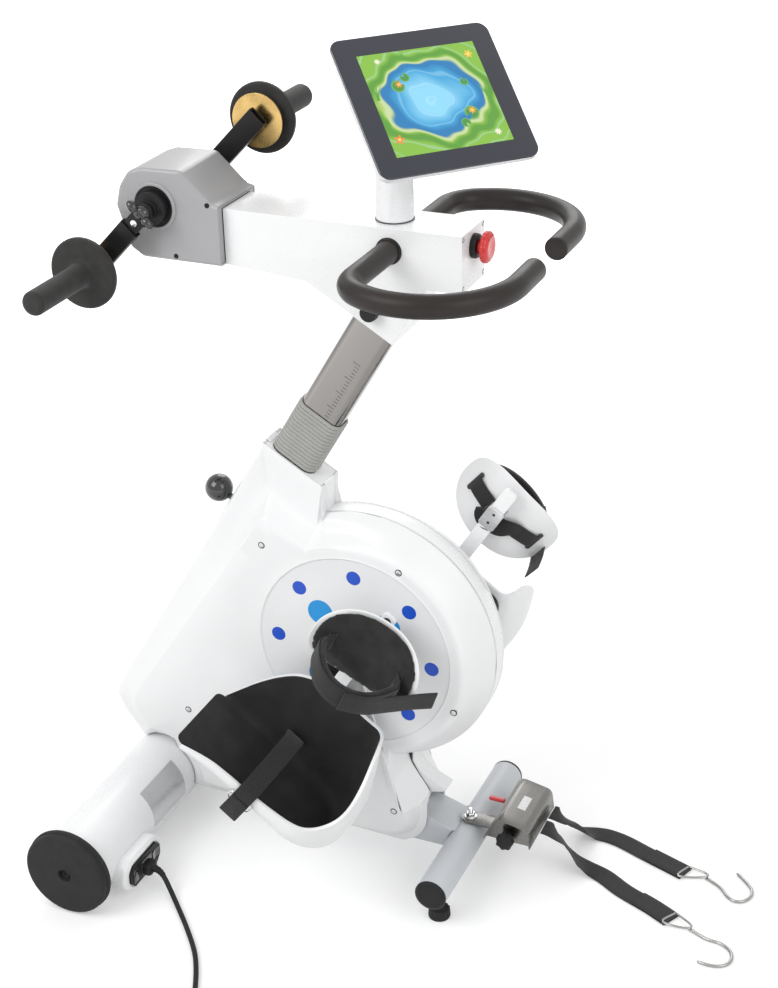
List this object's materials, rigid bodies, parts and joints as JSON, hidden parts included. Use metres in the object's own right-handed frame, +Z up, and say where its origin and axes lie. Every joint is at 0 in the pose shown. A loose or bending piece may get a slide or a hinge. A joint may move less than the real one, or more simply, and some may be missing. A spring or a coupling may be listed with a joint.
{
  "type": "active passive trainer",
  "caption": "Free-standing motorised arm and leg trainer: foot shells with calf cuffs on a driven crank, hand cranks and grip bars on a sliding column, tilting display",
  "frame": {"origin": "on the floor, under the middle of the trainer's box without its free lead and straps", "axes": "+X towards the seated user, +Y to the trainer's far side (the side without the mains inlet), +Z up"},
  "size_m": [0.9302, 0.7961, 1.1447],
  "materials": {
    "white_plastic": "smooth moulded white covers and shells",
    "white_paint": "white powder coat",
    "grey_paint": "light grey powder coat",
    "black_plastic": "black moulded plastic",
    "black_steel": "black coated steel",
    "rubber": "black rubber",
    "sleeve_rubber": "light grey ribbed rubber",
    "grip_foam": "dark grip covering with a soft sheen",
    "chrome": "polished column",
    "steel": "plain machined steel",
    "red_plastic": "red button and lever",
    "display_case": "dark glass front in a white case",
    "webbing": "black woven webbing",
    "pad": "black padded lining on a white plate"
  },
  "bodies": {
    "frame": {"front_tube": "white_paint", "inlet_housing": "white_plastic", "mains_inlet": "black_plastic", "lead_connector": "black_plastic", "mains_lead": "rubber", "lead_coil": "rubber", "mains_plug": "black_plastic", "base_beam": "grey_paint", "rear_tube": "grey_paint", "spine_frame": "white_plastic", "cover_near": "white_plastic", "cover_far": "white_plastic", "bearing_plate": "steel", "mast_guide": "steel", "leg_motor": "steel", "drive_belt": "rubber", "mast_sleeve": "sleeve_rubber"},
    "wheel_near_body": {"wheel_near": "black_plastic"},
    "wheel_far_body": {"wheel_far": "black_plastic"},
    "rocker": {"power_rocker": "black_plastic"},
    "foot_near": {"levelling_foot_near": "rubber"},
    "foot_far": {"levelling_foot_far": "rubber"},
    "knob": {"height_knob": "black_plastic"},
    "leg_drive": {"leg_shaft": "steel", "leg_pulley": "steel", "leg_crank_near": "black_steel", "leg_crank_far": "black_steel"},
    "motor_spindle": {"motor_pulley": "steel"},
    "pedal_near": {"pedal_bracket_near": "black_steel", "foot_shell_near": "white_plastic", "foot_strap_near": "webbing"},
    "pedal_far": {"pedal_bracket_far": "black_steel", "foot_shell_far": "white_plastic", "foot_strap_far": "webbing"},
    "cuff_near": {"calf_cuff_near": "pad", "calf_strap_near": "webbing"},
    "cuff_far": {"calf_cuff_far": "pad", "calf_strap_far": "webbing"},
    "head": {"mast": "chrome", "head_box": "white_paint", "arm_housing": "grey_paint", "handlebar_near": "grip_foam", "handlebar_far": "grip_foam"},
    "button": {"stop_button": "red_plastic"},
    "arm_drive": {"arm_shaft": "steel", "arm_bar_near": "black_steel", "arm_bar_far": "black_steel"},
    "sleeve_near": {"arm_sleeve_near": "black_steel"},
    "sleeve_far": {"arm_sleeve_far": "black_steel"},
    "grip_near": {"hand_grip_near": "grip_foam"},
    "grip_far": {"hand_grip_far": "grip_foam"},
    "pole": {"display_pole": "white_paint"},
    "screen": {"display": "display_case"},
    "retainer": {"retainer_hood": "steel", "leg_strap_near": "webbing", "leg_strap_far": "webbing", "strap_hook_near": "steel", "strap_hook_far": "steel"},
    "spool": {"strap_spool": "black_plastic"},
    "lever": {"release_lever": "red_plastic"}
  },
  "joints": [
    {"name": "wheel_near_spin", "type": "hinge", "parent": "frame", "child": "wheel_near_body", "pos_m": [-0.25178, -0.2912, 0.0627], "axis": [0, 1, 0], "continuous": true},
    {"name": "wheel_far_spin", "type": "hinge", "parent": "frame", "child": "wheel_far_body", "pos_m": [-0.25178, 0.2912, 0.0627], "axis": [0, 1, 0], "continuous": true},
    {"name": "power_switch", "type": "hinge", "parent": "frame", "child": "rocker", "pos_m": [-0.17997, -0.1865, 0.04], "axis": [0, 0, 1], "range_deg": [-6, 0]},
    {"name": "foot_near_screw", "type": "hinge", "parent": "frame", "child": "foot_near", "pos_m": [0.21702, -0.117, 0], "axis": [0, 0, 1], "range_deg": [-180, 180]},
    {"name": "foot_far_screw", "type": "hinge", "parent": "frame", "child": "foot_far", "pos_m": [0.21702, 0.117, 0], "axis": [0, 0, 1], "range_deg": [-180, 180]},
    {"name": "height_lock_pull", "type": "slide", "parent": "frame", "child": "knob", "axis": [-0.8572, 0, 0.515], "range_m": [0, 0.008], "stiffness_N_per_m": 400},
    {"name": "leg_crank_turn", "type": "hinge", "parent": "frame", "child": "leg_drive", "pos_m": [0.07522, 0, 0.351], "axis": [0, 1, 0], "continuous": true},
    {"name": "motor_turn", "type": "hinge", "parent": "frame", "child": "motor_spindle", "pos_m": [-0.09278, 0, 0.235], "axis": [0, 1, 0], "continuous": true},
    {"name": "pedal_near_turn", "type": "hinge", "parent": "leg_drive", "child": "pedal_near", "pos_m": [0.02471, -0.09, 0.29289], "axis": [0, 1, 0], "continuous": true},
    {"name": "pedal_far_turn", "type": "hinge", "parent": "leg_drive", "child": "pedal_far", "pos_m": [0.12574, 0.09, 0.40911], "axis": [0, 1, 0], "continuous": true},
    {"name": "cuff_near_tilt", "type": "hinge", "parent": "pedal_near", "child": "cuff_near", "pos_m": [0.11451, -0.0925, 0.39077], "axis": [0, 1, 0], "range_deg": [-15, 15]},
    {"name": "cuff_far_tilt", "type": "hinge", "parent": "pedal_far", "child": "cuff_far", "pos_m": [0.21554, 0.0925, 0.507], "axis": [0, 1, 0], "range_deg": [-15, 15]},
    {"name": "mast_height", "type": "slide", "parent": "frame", "child": "head", "axis": [0.515, 0, 0.8572], "range_m": [-0.095, 0]},
    {"name": "stop_press", "type": "slide", "parent": "head", "child": "button", "axis": [-1, 0, 0], "range_m": [0, 0.004], "stiffness_N_per_m": 900},
    {"name": "arm_crank_turn", "type": "hinge", "parent": "head", "child": "arm_drive", "pos_m": [-0.17838, 0, 0.9296], "axis": [0, 1, 0], "continuous": true},
    {"name": "arm_near_length", "type": "slide", "parent": "arm_drive", "child": "sleeve_near", "axis": [-0.6972, 0, -0.7169], "range_m": [-0.012, 0.012]},
    {"name": "arm_far_length", "type": "slide", "parent": "arm_drive", "child": "sleeve_far", "axis": [0.6972, 0, 0.7169], "range_m": [-0.012, 0.012]},
    {"name": "grip_near_spin", "type": "hinge", "parent": "sleeve_near", "child": "grip_near", "pos_m": [-0.25332, -0.16, 0.85253], "axis": [0, 1, 0], "continuous": true},
    {"name": "grip_far_spin", "type": "hinge", "parent": "sleeve_far", "child": "grip_far", "pos_m": [-0.10343, 0.16, 1.00667], "axis": [0, 1, 0], "continuous": true},
    {"name": "display_swivel", "type": "hinge", "parent": "head", "child": "pole", "pos_m": [0.12222, 0, 0.9323], "axis": [0, 0, 1], "range_deg": [-45, 90]},
    {"name": "display_tilt", "type": "hinge", "parent": "pole", "child": "screen", "pos_m": [0.12222, 0, 1.056], "axis": [0.6534, 0.757, 0], "range_deg": [-20, 20]},
    {"name": "retainer_swivel", "type": "hinge", "parent": "frame", "child": "retainer", "pos_m": [0.21702, 0, 0.08], "axis": [0, 0, 1], "range_deg": [-20, 10]},
    {"name": "spool_turn", "type": "hinge", "parent": "retainer", "child": "spool", "pos_m": [0.28223, 0, 0.088], "axis": [0, 1, 0], "continuous": true},
    {"name": "lever_lift", "type": "hinge", "parent": "retainer", "child": "lever", "pos_m": [0.25422, 0.035, 0.095], "axis": [0, 1, 0], "range_deg": [0, 20], "stiffness_Nm_per_rad": 0.05}
  ],
  "couplings": [
    {"joint": "motor_turn", "follows": "leg_crank_turn", "ratio": 4.75}
  ]
}
